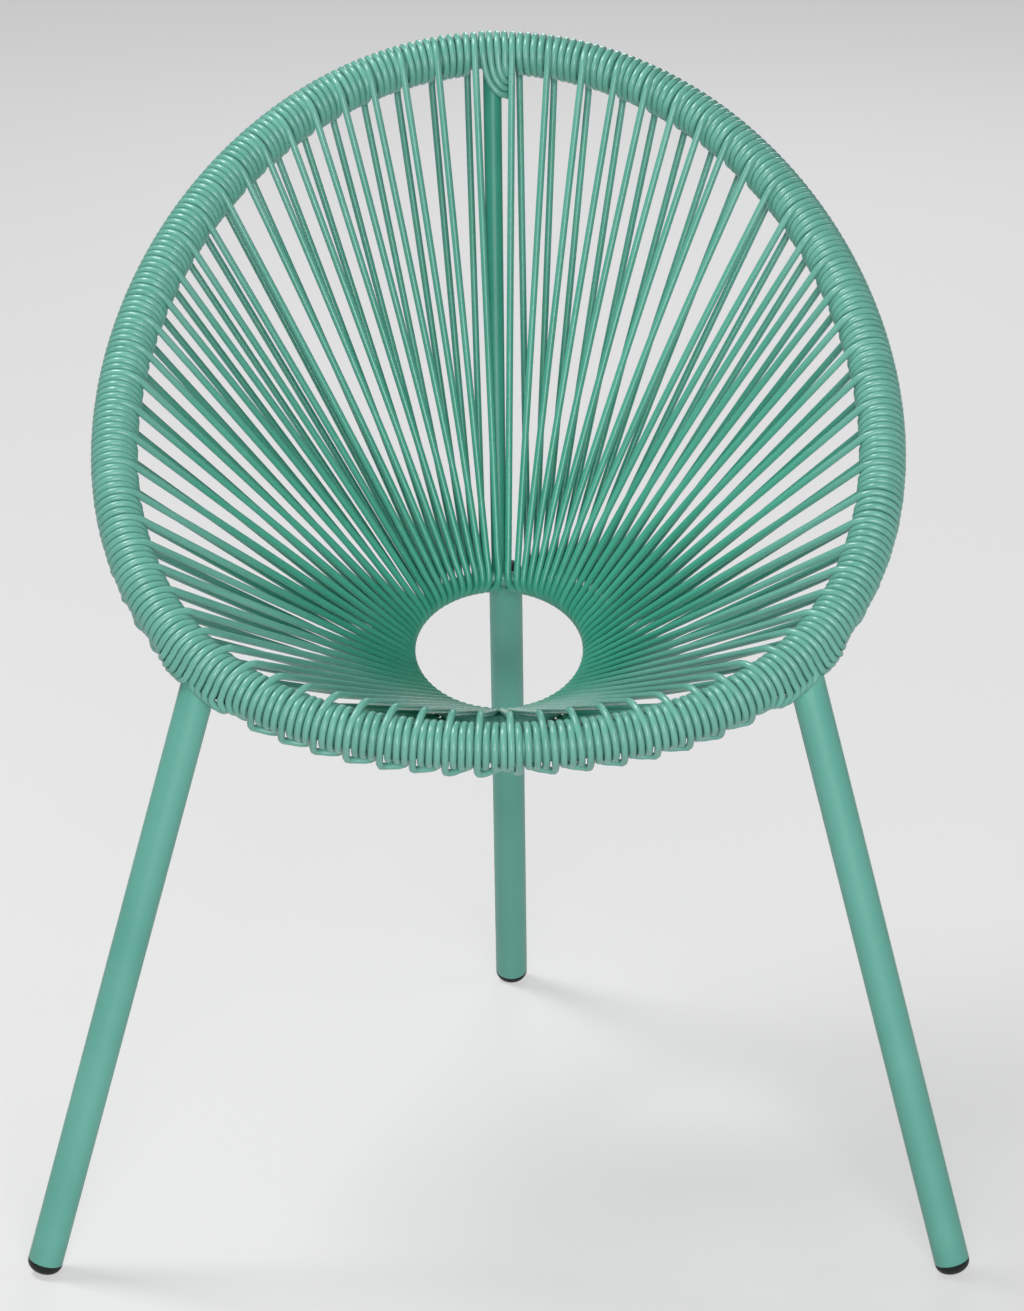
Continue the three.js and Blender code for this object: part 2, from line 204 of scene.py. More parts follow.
leg_places = {side: rim_at_angle(math.radians(angle)) for side, angle in LEG_ANGLE.items()}
leg_tops = {side: rim.centre(leg_places[side]) * [side, 1, 1] for side in (1, -1)}
leg_feet = {side: np.array([side * FRONT_FOOT_OUT, FRONT_FOOT_Y, 0]) for side in (1, -1)}

# Mesh helpers
# These directions only settle where a ring of points starts
SWEEP_HELPER = [0.31, 0.52, 0.79]
LATHE_HELPER = [0.2, 1, 0.1]
# Below this sine of a bend a line counts as straight
STRAIGHT_SINE = 1e-9
# The rings that round off an open tube's end: how far past it and how wide, as shares of its radius
END_SHARES = ((0.36, 0.82), (0.5, 0.45))
# The most of an edge that a rounded corner takes
ROUNDED_SHARE = 0.45
ROUNDING_STEPS = 4
# One of so many of the rim's points is enough to measure a distance to it
FINE_SKIP = 4
COARSE_SKIP = 16


def make_mesh(name, vertices, faces, material, replaces):
    """A smooth piece on the root body, shown in place of the part's nodes."""
    mesh = bpy.data.meshes.new(name)
    mesh.from_pydata([tuple(v) for v in vertices], [], [tuple(int(i) for i in face) for face in faces])
    mesh.materials.append(material)
    mesh.shade_smooth()
    mesh.validate()
    piece = bpy.data.objects.new(name, mesh)
    bpy.context.scene.collection.objects.link(piece)
    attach(piece, "root")
    if replaces:
        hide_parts(*replaces)
    return piece


def circle(sides):
    """Angles spread evenly round a circle."""
    return 2 * math.pi * np.arange(sides) / sides


def ring_about(axis, helper, sides):
    """Unit directions all round an axis."""
    u = unit(np.cross(axis, helper))
    v = np.cross(axis, u)
    return np.outer(np.cos(circle(sides)), u) + np.outer(np.sin(circle(sides)), v)


def ring_faces(count, sides, closed=False):
    """Quads between neighbouring rings of vertices."""
    j = np.arange(sides)
    following = (j + 1) % sides
    faces = []
    for i in range(count if closed else count - 1):
        low, high = i * sides, ((i + 1) % count) * sides
        faces.append(np.stack([low + j, low + following, high + following, high + j], -1))
    return [tuple(face) for face in np.vstack(faces)]


def frames_along(points, closed):
    """Directions square to a line, carried along it without twist."""
    if closed:
        tangents = np.roll(points, -1, 0) - np.roll(points, 1, 0)
    else:
        tangents = np.gradient(points, axis=0)
    tangents /= np.linalg.norm(tangents, axis=1, keepdims=True)
    normals = [unit(np.cross(tangents[0], SWEEP_HELPER))]
    for before, after in zip(tangents[:-1], tangents[1:]):
        bent = np.cross(before, after)
        sine, cosine = np.linalg.norm(bent), float(np.dot(before, after))
        normal = normals[-1]
        if sine > STRAIGHT_SINE:
            axis = bent / sine
            turn = math.atan2(sine, cosine)
            normal = (normal * math.cos(turn) + np.cross(axis, normal) * math.sin(turn)
                      + axis * np.dot(axis, normal) * (1 - math.cos(turn)))
        normals.append(unit(normal - after * np.dot(normal, after)))
    normals = np.array(normals)
    return tangents, normals, np.cross(tangents, normals)


def with_round_ends(points, radius):
    """A line's points and radii with two smaller rings added at each end."""
    points = np.asarray(points, float)
    radius = np.broadcast_to(radius, len(points)).astype(float)
    head_way, tail_way = unit(points[0] - points[1]), unit(points[-1] - points[-2])
    tail = [points[-1] + tail_way * radius[-1] * past for past, _ in END_SHARES]
    head = [points[0] + head_way * radius[0] * past for past, _ in reversed(END_SHARES)]
    tail_radius = [radius[-1] * wide for _, wide in END_SHARES]
    head_radius = [radius[0] * wide for _, wide in reversed(END_SHARES)]
    return np.vstack([head, points, tail]), np.concatenate([head_radius, radius, tail_radius])


def sweep(points, radius, sides, closed=False):
    """Vertices and faces of a round tube along points, its ends capped or joined."""
    radius = np.broadcast_to(radius, len(points))
    tangents, normals, binormals = frames_along(points, closed)
    count = len(points)
    turns = np.repeat(circle(sides)[None, :], count, 0)
    if closed:
        back = normals[-1]
        twist = math.atan2(np.dot(np.cross(back, normals[0]), tangents[0]), np.dot(back, normals[0]))
        turns = turns + twist * (np.arange(count) / count)[:, None]
    ring = np.cos(turns)[..., None] * normals[:, None] + np.sin(turns)[..., None] * binormals[:, None]
    vertices = (points[:, None] + radius[:, None, None] * ring).reshape(-1, 3)
    faces = ring_faces(count, sides, closed)
    if not closed:
        faces.append(tuple(reversed(range(sides))))
        faces.append(tuple(range((count - 1) * sides, count * sides)))
    return vertices, faces


def lathe(start, end, profile, sides):
    """Vertices and faces of a turned solid about the line from start to end. Its profile is a list of
    [radius, distance]."""
    axis = unit(end - start)
    ring = ring_about(axis, LATHE_HELPER, sides)
    vertices, rows, faces = [], [], []
    for radius, height in profile:
        if radius == 0:
            rows.append([len(vertices)] * sides)
            vertices.append(start + axis * height)
        else:
            rows.append(list(range(len(vertices), len(vertices) + sides)))
            vertices.extend(start + axis * height + radius * ring)
    for low, high in zip(rows[:-1], rows[1:]):
        for j in range(sides):
            k = (j + 1) % sides
            face = [low[j], low[k], high[k], high[j]]
            face = [x for i, x in enumerate(face) if x not in face[:i]]
            if len(face) > 2:
                faces.append(tuple(face))
    return vertices, faces


def round_profile(points, radius):
    """A profile whose inner corners are rounded."""
    points = [np.array(p, float) for p in points]
    rounded = [points[0]]
    for before, corner, after in zip(points[:-2], points[1:-1], points[2:]):
        back, on = before - corner, after - corner
        cut = min(radius, ROUNDED_SHARE * np.linalg.norm(back), ROUNDED_SHARE * np.linalg.norm(on))
        first, last = corner + unit(back) * cut, corner + unit(on) * cut
        for t in np.linspace(0, 1, ROUNDING_STEPS):
            rounded.append((1 - t) ** 2 * first + 2 * t * (1 - t) * corner + t * t * last)
    rounded.append(points[-1])
    return rounded


# Materials
# Colours are linear, and each pair is the two ends of a slow drift
# The cord's deeper pair is painted shade, for low in the bowl, and its paler pair is painted sheen, for near
# the rim, high in the back and in front
CORD_PAINTED_SHADE = ((0.040, 0.330, 0.225), (0.070, 0.415, 0.290))
CORD_PAINTED_SHEEN = ((0.134, 0.404, 0.320), (0.184, 0.492, 0.402))
CORD_DUST = (0.34, 0.61, 0.53, 1)
FRAME_COAT = ((0.116, 0.412, 0.330), (0.152, 0.470, 0.382))
# The spine lies in the shade of the cords: its darker coat is painted shade
SPINE_PAINTED_SHADE = ((0.034, 0.285, 0.200), (0.052, 0.335, 0.245))
RUBBED_COAT = (0.24, 0.50, 0.43, 1)
PLUG_BLACK = (0.006, 0.008, 0.008, 1)
PLUG_GREY = (0.035, 0.035, 0.033, 1)
# How high a plug is scuffed by the floor
SCUFF_HEIGHT = 0.005


def grey(value):
    return (value, value, value)


class Look:
    """A material's nodes and short ways to add to them. Values are the shader's plain inputs, which a link
    made later overrides."""

    def __init__(self, name, **values):
        self.material = bpy.data.materials.new(name)
        self.material.use_nodes = True
        self.nodes = self.material.node_tree.nodes
        self.links = self.material.node_tree.links
        self.shader = self.nodes["Principled BSDF"]
        for key, value in values.items():
            self.shader.inputs[key.replace("_", " ")].default_value = value

    def feed(self, value, socket):
        """Gives an input a constant or another node's output."""
        if isinstance(value, bpy.types.NodeSocket):
            self.links.new(value, socket)
        else:
            socket.default_value = value

    def coordinates(self, kind):
        return self.nodes.new("ShaderNodeTexCoord").outputs[kind]

    def stretched(self, vector, scale):
        node = self.nodes.new("ShaderNodeMapping")
        node.inputs["Scale"].default_value = scale
        self.feed(vector, node.inputs["Vector"])
        return node.outputs["Vector"]

    def noise(self, vector, scale, detail, rough=0.5):
        node = self.nodes.new("ShaderNodeTexNoise")
        for name, value in (("Vector", vector), ("Scale", scale), ("Detail", detail), ("Roughness", rough)):
            self.feed(value, node.inputs[name])
        return node.outputs["Fac"]

    def ramp(self, factor, places, colors):
        """A colour that goes from the first to the second while the factor goes between two places."""
        node = self.nodes.new("ShaderNodeValToRGB")
        for element, place, color in zip(node.color_ramp.elements, places, colors):
            element.position = place
            element.color = (*color, 1)
        self.feed(factor, node.inputs["Fac"])
        return node.outputs["Color"]

    def span(self, factor, low, high, start=0.0, end=1.0):
        """A value that goes from low to high while the factor goes from start to end."""
        node = self.nodes.new("ShaderNodeMapRange")
        for name, value in (("Value", factor), ("From Min", start), ("From Max", end),
                            ("To Min", low), ("To Max", high)):
            self.feed(value, node.inputs[name])
        return node.outputs["Result"]

    def mixed(self, factor, first, second):
        """A blend of two colours."""
        node = self.nodes.new("ShaderNodeMix")
        node.data_type = "RGBA"
        for name, value in (("Factor", factor), ("A", first), ("B", second)):
            self.feed(value, node.inputs[name])
        return node.outputs["Result"]

    def combined(self, operation, first, second):
        node = self.nodes.new("ShaderNodeMath")
        node.operation = operation
        self.feed(first, node.inputs[0])
        self.feed(second, node.inputs[1])
        return node.outputs["Value"]

    def bump(self, height, strength, distance, before=None):
        """The normal of a bumped surface, on top of the bump before it."""
        node = self.nodes.new("ShaderNodeBump")
        for name, value in (("Height", height), ("Strength", strength), ("Distance", distance)):
            self.feed(value, node.inputs[name])
        if before is not None:
            self.feed(before, node.inputs["Normal"])
        return node.outputs["Normal"]

    def finish(self, color, roughness, normal):
        for name, value in (("Base Color", color), ("Roughness", roughness), ("Normal", normal)):
            self.feed(value, self.shader.inputs[name])
        return self.material


def cord_material():
    """Glossy extruded plastic: faint drawn lines along the cord, slow colour drift, a little dust, painted
    shade as a deeper colour low in the bowl, and painted sheen as a paler colour near the rim, high in the
    back and in front."""
    look = Look("glossy_cord", Roughness=0.28, IOR=1.53)
    round_and_along = look.coordinates("UV")
    drawn = look.noise(look.stretched(round_and_along, (14, 9, 1)), scale=3.0, detail=3.0, rough=0.6)
    drift = look.noise(look.stretched(round_and_along, (0.3, 3.2, 1)), scale=1.6, detail=2.0)
    dust = look.noise(look.coordinates("Object"), scale=38, detail=5.0, rough=0.62)
    # The mesh's share of painted sheen over painted shade
    painted_sheen = look.nodes.new("ShaderNodeAttribute")
    painted_sheen.attribute_name = "painted_sheen"
    shade_tone, sheen_tone = (look.ramp(drift, (0.28, 0.72), colors) for colors in (CORD_PAINTED_SHADE, CORD_PAINTED_SHEEN))
    tone = look.mixed(painted_sheen.outputs["Fac"], shade_tone, sheen_tone)
    specks = look.ramp(dust, (0.60, 0.80), (grey(0), grey(0.16)))
    lines = look.bump(drawn, strength=0.12, distance=0.0004)
    grains = look.bump(dust, strength=0.05, distance=0.0003, before=lines)
    return look.finish(look.mixed(specks, tone, CORD_DUST), look.span(drawn, 0.20, 0.34), grains)


def coat_material(name, colors):
    """Satin powder coat: fine orange peel, slow tone changes and faint rubbing."""
    look = Look(name, Roughness=0.4, IOR=1.5)
    place = look.coordinates("Object")
    peel = look.noise(place, scale=520, detail=2.0)
    drift = look.noise(place, scale=9, detail=3.0)
    rub = look.noise(place, scale=46, detail=6.0, rough=0.65)
    tone = look.ramp(drift, (0.3, 0.7), colors)
    worn = look.ramp(rub, (0.62, 0.78), (grey(0), grey(0.22)))
    dimples = look.bump(peel, strength=0.16, distance=0.0005)
    return look.finish(look.mixed(worn, tone, RUBBED_COAT), look.span(rub, 0.34, 0.5), dimples)


def plug_material():
    """Moulded black plastic: fine grain, greyed and scuffed where it meets the floor."""
    look = Look("black_plastic", Roughness=0.5, Specular_IOR_Level=0.3)
    place = look.coordinates("Object")
    grain = look.noise(place, scale=900, detail=2.0)
    scuff = look.noise(place, scale=140, detail=6.0, rough=0.7)
    parts = look.nodes.new("ShaderNodeSeparateXYZ")
    look.feed(place, parts.inputs["Vector"])
    low = look.span(parts.outputs["Z"], 0.85, 0.0, end=SCUFF_HEIGHT)
    wear = look.combined("MULTIPLY", low, scuff)
    grained = look.bump(grain, strength=0.25, distance=0.0003)
    return look.finish(look.mixed(wear, PLUG_BLACK, PLUG_GREY), look.span(scuff, 0.38, 0.62), grained)


glossy_cord = cord_material()
powder_coat = coat_material("powder_coat", FRAME_COAT)
# The spine's coat, darker as painted shade
painted_shade_coat = coat_material("painted_shade_coat", SPINE_PAINTED_SHADE)
black_plastic = plug_material()

# Frame
# How high the tubes end above the floor, how round their ends are, and how far in from its top and from
# the floor the rear tube's bore is drawn
PLUG_SHOULDER = 0.0100
EDGE = 0.0006
OPEN_DEPTH = 0.012
TUBE_SIDES = 64
TUBE_STEPS = 24
# How far down a leg its end at the rim is looked for, and the halvings that find it
FIT_REACH = 0.04
FIT_STEPS = 26
# The weld bead: its radius, how far it stands out of the tube, and its ripples as (share, waves, start)
BEAD = 0.0016
BEAD_SIDES = 10
BEAD_OUT_SHARE = 0.35
BEAD_RIPPLES = ((0.16, 17, 0), (0.08, 29, 1))
# The spine, drawn as thick as the photograph shows it: radii at its ends, its top's shift and how far its
# ends sink into the rim tube and the hub bar
SPINE_RADII = (0.0075, 0.0062)
SPINE_SHIFT = -0.0010
SPINE_SINKS = (0.0006, 0.0004)
SPINE_STEPS = 30
SPINE_SIDES = 24


def hoop_bar(name, hoop, radius, steps, sides, node):
    """A round bar all the way round a hoop."""
    distances = np.linspace(0, hoop.length, steps, endpoint=False)
    vertices, faces = sweep(hoop.centre(distances), radius, sides, closed=True)
    make_mesh(name, vertices, faces, powder_coat, [node])


def front_tube(name, top, foot, node):
    """A leg's tube, fitted to the rim tube's surface with a small weld bead, down to its foot end."""
    axis = unit(foot - top)
    ring = LEG * ring_about(axis, [0, 1, 0], TUBE_SIDES)
    low, high = np.zeros(TUBE_SIDES), np.full(TUBE_SIDES, FIT_REACH)
    for _ in range(FIT_STEPS):
        middle = (low + high) / 2
        inside = distance_to(top + ring + middle[:, None] * axis, rim.points[::FINE_SKIP]) < RIM_TUBE - TOUCH
        low, high = np.where(inside, middle, low), np.where(inside, high, middle)
    length = np.linalg.norm(foot - top) - PLUG_SHOULDER
    edge = top + ring + high[:, None] * axis
    rows = [edge]
    for share in np.arange(1, TUBE_STEPS + 1) / TUBE_STEPS:
        rows.append(top + ring + (high + (length - EDGE - high) * share)[:, None] * axis)
    # The foot end: its rounded edge and the end of its wall
    for cut, back in ((EDGE * 0.35, EDGE / 4), (EDGE, 0), (LEG - LEG_BORE, 0)):
        rows.append(top + ring * (1 - cut / LEG) + (length - back) * axis)
    faces = ring_faces(len(rows), TUBE_SIDES)
    vertices = np.vstack(rows)
    ripples = sum(size * np.sin(circle(TUBE_SIDES) * count + start) for size, count, start in BEAD_RIPPLES)
    bead_line = edge + ring / LEG * BEAD * BEAD_OUT_SHARE
    bead, bead_faces = sweep(bead_line, BEAD * (1 + ripples), BEAD_SIDES, closed=True)
    faces += [tuple(i + len(vertices) for i in face) for face in bead_faces]
    make_mesh(name, np.vstack([vertices, bead]), faces, powder_coat, [node])


def rear_line():
    """The rear leg's top and foot: its tube leans on the hub bar from behind."""
    bar = hub.centre(0.0)
    lip = LEG + math.sqrt((BAR + CLEARANCE) ** 2 - REAR_TOP_BELOW ** 2)
    reach = math.hypot(bar[1] - REAR_FOOT_Y, bar[2])
    lean = math.atan2(REAR_FOOT_Y - bar[1], bar[2]) - math.asin(lip / reach)
    length = math.sqrt(reach ** 2 - lip ** 2) - REAR_TOP_BELOW
    top = np.array([REAR_TOP_X, REAR_FOOT_Y - length * math.sin(lean), length * math.cos(lean)])
    return top, np.array([REAR_FOOT_X, REAR_FOOT_Y, 0])


def rear_tube(top, foot):
    total = np.linalg.norm(foot - top)
    end = total - PLUG_SHOULDER
    profile = round_profile([[LEG_BORE, OPEN_DEPTH], [LEG_BORE, 0], [LEG, 0], [LEG, end],
                             [LEG_BORE, end], [LEG_BORE, total - OPEN_DEPTH]], EDGE)
    vertices, faces = lathe(top, foot, profile, TUBE_SIDES)
    make_mesh("rear_tube", vertices, faces, powder_coat, ["rear_leg"])


hoop_bar("rim_tube", rim, RIM_TUBE, steps=360, sides=24, node="seat_rim_tube")
hoop_bar("hub_ring_bar", hub, BAR, steps=144, sides=20, node="hub_ring")
for side, word in ((-1, "left"), (1, "right")):
    front_tube(f"front_tube_{word}", leg_tops[side], leg_feet[side], f"front_leg_{word}")
rear_top, rear_foot = rear_line()
rear_tube(rear_top, rear_foot)

spine_top = rim.centre(0.0) + np.array([SPINE_TOP_X + SPINE_SHIFT, 0, 0])
spine_axis = unit(hub.centre(0.0) - spine_top)
spine_end = np.linalg.norm(hub.centre(0.0) - spine_top) - BAR + SPINE_SINKS[1]
spine_places = np.linspace(RIM_TUBE - SPINE_SINKS[0], spine_end, SPINE_STEPS)
spine_line = spine_top + np.outer(spine_places, spine_axis)
spine_radii = np.linspace(*SPINE_RADII, SPINE_STEPS)
spine_vertices, spine_faces = sweep(*with_round_ends(spine_line, spine_radii), SPINE_SIDES)
make_mesh("spine_bar", spine_vertices, spine_faces, painted_shade_coat, ["back_spine_bar"])

# Plugs
# A foot plug has a dome a little fuller than an ellipse, a shoulder under the tube's end, as rings of
# [how far inside the tube's surface, height], and a stem in its bore
DOME_HEIGHT = 0.0096
DOME_POWERS = (0.86, 0.95)
DOME_STEPS = 14
SHOULDER = ((0, 0.0001), (0.0003, 0.00028))
STEM_GAP = 0.0002
STEM = LEG_BORE - STEM_GAP
STEM_LENGTH = 0.018
PLUG_SIDES = 48
# The top plug: the heights of its middle and its edge, its stem's length and its corners
CAP_HEIGHT = 0.0022
CAP_EDGE = 0.0018
CAP_STEM_LENGTH = 0.014
CAP_ROUNDING = 0.0008


def foot_plug(name, top, foot, node):
    start = foot + unit(top - foot) * (PLUG_SHOULDER - CLEARANCE)
    profile = [[LEG * math.sin(a) ** DOME_POWERS[0], -DOME_HEIGHT * math.cos(a) ** DOME_POWERS[1]]
               for a in np.linspace(0, math.pi / 2, DOME_STEPS)]
    profile += [[LEG - inside, height] for inside, height in SHOULDER]
    profile += [[STEM, CLEARANCE], [STEM, STEM_LENGTH], [0, STEM_LENGTH]]
    vertices, faces = lathe(start, top, profile, PLUG_SIDES)
    vertices = np.array(vertices)
    vertices[:, 2] = np.maximum(vertices[:, 2], 0)
    make_mesh(name, vertices, faces, black_plastic, [node])


def top_plug(name, top, foot, node):
    profile = round_profile([[0, CAP_HEIGHT], [LEG_BORE - CAP_EDGE, CAP_EDGE], [STEM, -STEM_GAP],
                             [STEM, -CAP_STEM_LENGTH], [0, -CAP_STEM_LENGTH]], CAP_ROUNDING)
    vertices, faces = lathe(top, 2 * top - foot, profile, PLUG_SIDES)
    make_mesh(name, vertices, faces, black_plastic, [node])


foot_plug("plug_left", leg_tops[-1], leg_feet[-1], "foot_plug_left")
foot_plug("plug_right", leg_tops[1], leg_feet[1], "foot_plug_right")
foot_plug("plug_rear", rear_top, rear_foot, "foot_plug_rear")
top_plug("top_plug", rear_top, rear_foot, "rear_leg_top_plug")

# Cords
# A knot of the winding is [angle round the rim's section in degrees, way along the rim in turns, lift off
# the first layer]. Turns are wound with falling angles: 0 is inward, -90 down, -180 outward
ROUTE_STEP = 0.0029
# How unevenly the turns lie, at how many knots, and from what angle on and over how many degrees it grows
WANDER = 0.00012
WANDER_KNOTS = 28
WANDER_FROM = 100
WANDER_GROWTH = 80
# How far off its tightest way a run hangs at most, and how much further the runs of some strands hang
SLACK = 0.0004
LOOSE_RUNS = {-1: range(29, 34), 1: ()}
LOOSE_SLACK = 0.0008
# The way after the last strand, and from how wide a way four turns fit it
LAST_WAY = {-1: 0.0245, 1: 0}
FOUR_TURNS_WAY = 0.0258
LONG_LEAD = 1.4
# From this strand on, the right cord makes one of its turns behind the strand
BEHIND_FROM = 18
# The angle at which a run goes back under its turns
RUN_ANGLE = {-1: -123, 1: -116}
# The elbow between a run and the next turn, at the sides and in front, and how soon it changes
SIDE_ELBOW = np.array([[-134, 0.02, 0.0034], [-148, -0.04, 0.0012]])
FRONT_ELBOW = {-1: np.array([[-146, 0.02, 0.0046], [-156, -0.04, 0.0020]]),
               1: np.array([[-136, 0.02, 0.0040], [-150, -0.04, 0.0016]])}
ELBOW_CHANGE = 2.5
TURN_BEHIND = [[-215, -1, 0], [-268, -1, 0], [-300, -0.94, 0], [-360, -0.66, 0], [-430, -0.18, 0],
               [-480, 0, 0]]
# How many degrees early the upper strand leaves the rim, at the sides and how many more in front
LIFT_OFF = 8
LIFT_OFF_FRONT = 40
# How far a strand slides along the rim before it leaves: a share of its slant, and the most
SLIDE = 0.014
SLIDE_MOST = 0.0022
# Over a front leg: half the way that is fully lifted, half the way that is lifted at all, and the cosine
# of the angle off the leg at which the lift starts, and how much more makes it full
LEG_SHOULDER = 0.018
LEG_REACH = 0.042
FACING_FROM = 0.26
FACING_SPAN = 0.56
# Strands: how long the bends at their ends are, their handles, and steps in between
BEND = 0.022
BEND_HANDLES = (0.009, 0.011)
BEND_POINTS = 7
EASE_SHARE = 0.4
STRAIGHT_STEP = 0.02
ARC_POINTS = 10
FRONT_ARC = 0.0135
LEAST_STEP = 0.0004
# The front's first strand, and how many more until the middle
FRONT_FROM = 22
FRONT_COUNT = 14
# Hooks on the hub ring: points in one, where the cord's two ends stop, and how far those stand apart
HOOK_POINTS = 15
FIRST_HOOK_POINT = 5
LAST_HOOK_POINT = 11
END_ABOVE_SHARE = 0.85
END_BELOW_SHARE = 0.6
# The lower strands beside the rear leg: the space there, their least distances and their lead on the hooks
REAR_SPACE = 0.0005
LEAST_BELOW = 0.0056
HOOK_LEAD = 0.5


def front_share(number):
    """0 at the sides and the back, rising to 1 at the middle of the front."""
    return max(0, (number - FRONT_FROM) / FRONT_COUNT)


def strand_place(side, number):
    """How far from the top a strand leaves the rim, between two stations."""
    station = number + 0.5
    back = min(station, BACK_STRANDS)
    spacing = BACK_SPACING if station < BACK_STRANDS else FRONT_SPACING
    even = BACK_SPACING * back + FRONT_SPACING * (station - back)
    return even + spacing * table_value(DRIFT_SHARES[side], station)


def hermite(t, step, first, last, first_slope, last_slope):
    return ((1 + 2 * t) * (1 - t) ** 2 * first + t * (1 - t) ** 2 * step * first_slope
            + t * t * (3 - 2 * t) * last + t * t * (t - 1) * step * last_slope)


def bezier(a, b, c, d, count):
    t = np.linspace(0, 1, count)[:, None]
    return (1 - t) ** 3 * a + 3 * t * (1 - t) ** 2 * b + 3 * t * t * (1 - t) * c + t ** 3 * d


def sampled(places, step):
    """Even samples along places, with the stretch and the share of it that each falls in."""
    samples = np.linspace(0, places[-1], int(places[-1] / step))
    index = np.clip(np.searchsorted(places, samples, side="right") - 1, 0, len(places) - 2)
    steps = np.diff(places)[index]
    return index, steps, (samples - places[index]) / steps


def smooth_path(knots, step):
    """Monotone cubics through knots of [angle in degrees, distance along, lift], sampled by length."""
    change = np.diff(knots, axis=0)
    lengths = np.sqrt((np.radians(change[:, 0]) * WRAP) ** 2 + change[:, 1] ** 2 + change[:, 2] ** 2)
    index, steps, t = sampled(np.concatenate([[0], np.cumsum(lengths)]), step)
    columns = []
    for y in knots.T:
        rise = np.diff(y) / lengths
        slope = np.zeros(len(y))
        slope[0], slope[-1] = rise[0], rise[-1]
        for i in range(1, len(y) - 1):
            if rise[i - 1] * rise[i] > 0:
                w1, w2 = 2 * lengths[i] + lengths[i - 1], lengths[i] + 2 * lengths[i - 1]
                slope[i] = (w1 + w2) / (w1 / rise[i - 1] + w2 / rise[i])
        columns.append(hermite(t, steps, y[index], y[index + 1], slope[index], slope[index + 1]))
    return columns


def curve_through(knots, step):
    """A smooth curve through points, sampled at even lengths."""
    places = distances_along(knots)
    slopes = np.gradient(knots, places, axis=0)
    index, steps, t = sampled(places, step)
    return hermite(t[:, None], steps[:, None], knots[index], knots[index + 1], slopes[index],
                   slopes[index + 1])


def leg_room(side, place, angle, lift):
    """Near the front leg the turns ride over its shoulder with the run under them, and part only where the
    leg stands out further than they do."""
    middle = leg_places[side]
    direction = (leg_feet[side] - leg_tops[side]) * [side, 1, 1]
    inward, up = direction @ rim.inward(middle), direction @ rim_normal
    lean = direction @ rim.along(middle) / math.hypot(inward, up)
    away = angle - math.atan2(up, inward)
    facing = np.maximum(np.cos(away), 0)
    beside = (LEG_REACH - np.abs(place - middle - WRAP * facing * lean)) / (LEG_REACH - LEG_SHOULDER)
    over = smooth_step(beside) * smooth_step((facing - FACING_FROM) / FACING_SPAN)
    radius = WRAP + lift + over * (CORD - 2 * lift)
    centre = middle + radius * facing * lean
    half = np.sqrt(np.maximum(LEG ** 2 - (radius * np.sin(away)) ** 2, 0)) * (facing > 0)
    way = np.where(place > middle + radius * lean / 2, 1, -1)
    gap = np.maximum(way * (place - centre), 0)
    near = np.clip(1 - gap / LEG_REACH, 0, 1) * (half > 0)
    return np.where(near > 0, centre + way * (gap + half * near), place), radius


def turns_ahead(side, number):
    """How many turns fill the way to the next strand, and how far apart they lie."""
    if number == STRANDS - 1:
        ahead = LAST_WAY[side]
    else:
        ahead = strand_place(side, number + 1) - strand_place(side, number)
    if ahead == 0:
        return 0, TURN
    turns = 4 if ahead > FOUR_TURNS_WAY else 3
    return turns, ahead / (turns + 1)


def landing(strand_angle, lead, turns):
    """Knots of the lower strand's way onto the rim. Where it leads by much, it crosses over the run."""
    if not turns:
        return [[strand_angle, 0.7, 0]]
    if lead > LONG_LEAD:
        return [[strand_angle, lead, 0.0045], [-142, 1 + (lead - 1) * 0.5, 0.0036],
                [-154, 1 + (lead - 1) * 0.12, 0.0014], [-166, 1, 0]]
    return [[strand_angle, lead, 0], [-158, 1 + (lead - 1) * 0.25, 0]]


def turns_on(count):
    """Knots of the turns towards the next strand: each lies straight over the outer side and steps over by
    one on the inner side."""
    knots = []
    for m in range(1, count + 1):
        base = -360 * (m - 1)
        knots += [[base - 180, m, 0], [base - 268, m, 0], [base - 300, m + 0.06, 0]]
        if m < count:
            knots += [[base - 360, m + 0.34, 0], [base - 430, m + 0.82, 0], [base - 480, m + 1, 0]]
        else:
            knots += [[base - 360, m + 0.22, 0], [base - 415, m + 0.42, 0.0004]]
    return knots


def run_under(side, number, turns, run_end, lift):
    """Knots of the run from the last turn back under the others, and its elbow."""
    low = RUN_ANGLE[side]
    last = turns + run_end
    over = [[-88, last + 0.42, 0.0020], [-101, last + 0.2, 0.0048]]
    if not turns:
        run = [[low + 4, 0.2, 0.0050], [low - 2, -0.6, lift]]
    elif side < 0 and number > STRANDS - 3:
        run = over + [[low + 8, 1.8, lift], [low - 6, 0.9, lift], [low - 14, 0.35, lift * 0.96]]
    else:
        run = over + [[low + 10, last - 0.4, lift], [low + 2, run_end + 1.7, lift],
                      [low - 3, run_end + 0.85, lift], [low - 12, run_end + 0.25, lift * 0.97]]
    share = min(1, front_share(number) * ELBOW_CHANGE)
    elbow = SIDE_ELBOW + (FRONT_ELBOW[side] - SIDE_ELBOW) * share
    return run + [[angle, run_end + past, rise] for angle, past, rise in elbow] + [[-171, run_end, 0.0002]]


def leaving(base, strand_angle, number, slant):
    """Knots, in metres along, where the cord slides sideways and lifts off the rim as the upper strand."""
    leave = base + strand_angle - 180 + LIFT_OFF + LIFT_OFF_FRONT * front_share(number)
    slide = min(slant * SLIDE, SLIDE_MOST)
    return [[base - 205, 0, 0], [leave + 48, slide * 0.08, 0], [leave + 22, slide * 0.42, abs(slide) * 0.5],
            [leave, slide, abs(slide) * 1.1]]


